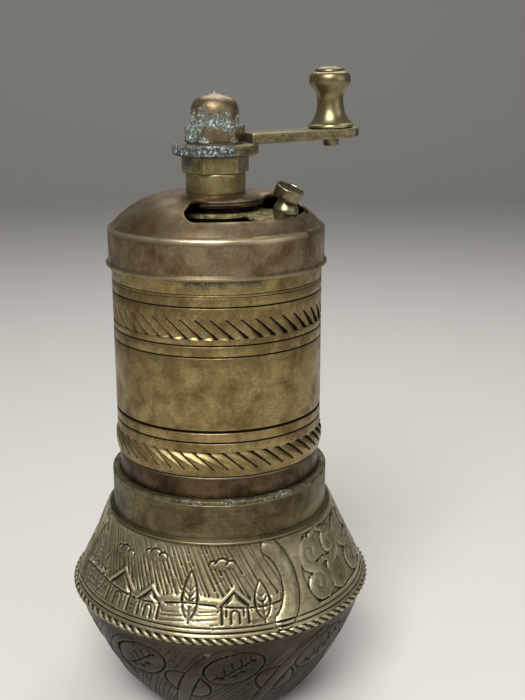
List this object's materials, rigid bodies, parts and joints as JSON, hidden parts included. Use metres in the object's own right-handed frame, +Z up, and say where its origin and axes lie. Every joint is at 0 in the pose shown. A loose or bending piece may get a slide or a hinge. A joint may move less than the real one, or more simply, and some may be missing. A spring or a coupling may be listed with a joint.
{
  "type": "hand mill",
  "caption": "Hand cranked brass seed mill: engraved receptacle, grooved barrel with shuttered filling slot, conical burrs on a crank-driven shaft.",
  "frame": {"origin": "centre of the flat face of the foot", "axes": "+Z up along the shaft, -Y towards the front with the filling slot, +X towards the crank's handle at rest"},
  "size_m": [0.0754, 0.0754, 0.1579],
  "materials": {
    "bowl_brass": "spun brass, engraved, grey-green tarnish",
    "rope_brass": "twisted brass wire, rubbed bright",
    "collar_brass": "turned brass, dull olive-brown",
    "spigot_brass": "turned brass, dark brown patina",
    "barrel_brass": "turned brass, aged yellow-olive",
    "bush_brass": "turned brass",
    "lid_brass": "pressed brass, copper-brown patina",
    "spacer_brass": "red brass, oily",
    "shutter_brass": "sheet brass with dark residue",
    "knob_brass": "turned brass, rubbed bright on the bulb",
    "nut_brass": "milled brass",
    "crank_brass": "forged brass with grey tarnish and verdigris",
    "cap_brass": "turned brass with verdigris crust",
    "rivet_brass": "brass rivet",
    "handle_brass": "turned brass, hand polished",
    "pin_steel": "steel pins",
    "inner_steel": "dull steel",
    "shaft_steel": "turned steel",
    "burr_iron": "hardened cast iron"
  },
  "bodies": {
    "receptacle": {"bowl": "bowl_brass", "shoulder": "bowl_brass", "rope_rim": "rope_brass", "neck_collar": "collar_brass", "neck_wire": "collar_brass"},
    "barrel": {"spigot_sleeve": "spigot_brass", "hopper_cylinder": "barrel_brass", "burr_pins": "pin_steel", "bearing_bridge": "inner_steel", "bridge_bush": "bush_brass", "outer_burr": "burr_iron", "lid": "lid_brass", "collar_bush": "bush_brass", "shutter_spacer": "spacer_brass", "shutter_washer": "inner_steel", "bush_ring_nut": "bush_brass"},
    "shutter": {"shutter_plate": "shutter_brass", "shutter_knob": "knob_brass"},
    "crank": {"adjusting_nut": "nut_brass", "crank_arm": "crank_brass", "cap_washer": "crank_brass", "cap_nut": "cap_brass", "handle_rivet": "rivet_brass"},
    "spindle": {"shaft": "shaft_steel", "inner_burr": "burr_iron", "burr_washer": "inner_steel", "burr_nut": "inner_steel"},
    "handle": {"handle_knob": "handle_brass"}
  },
  "joints": [
    {"name": "barrel_lift", "type": "slide", "parent": "receptacle", "child": "barrel", "axis": [0, 0, 1], "range_m": [0, 0.03]},
    {"name": "shutter_turn", "type": "hinge", "parent": "barrel", "child": "shutter", "pos_m": [0, 0, 0.1248], "axis": [0, 0, 1], "range_deg": [-70, 19]},
    {"name": "crank_turn", "type": "hinge", "parent": "barrel", "child": "crank", "pos_m": [0, 0, 0.1339], "axis": [0, 0, 1], "continuous": true},
    {"name": "burr_setting", "type": "slide", "parent": "crank", "child": "spindle", "axis": [0, 0, 1], "range_m": [-0.0005, 0.0003]},
    {"name": "handle_spin", "type": "hinge", "parent": "crank", "child": "handle", "pos_m": [0.02763, 0.0074, 0.14348], "axis": [-0.0337, -0.009, 0.9994], "continuous": true}
  ]
}
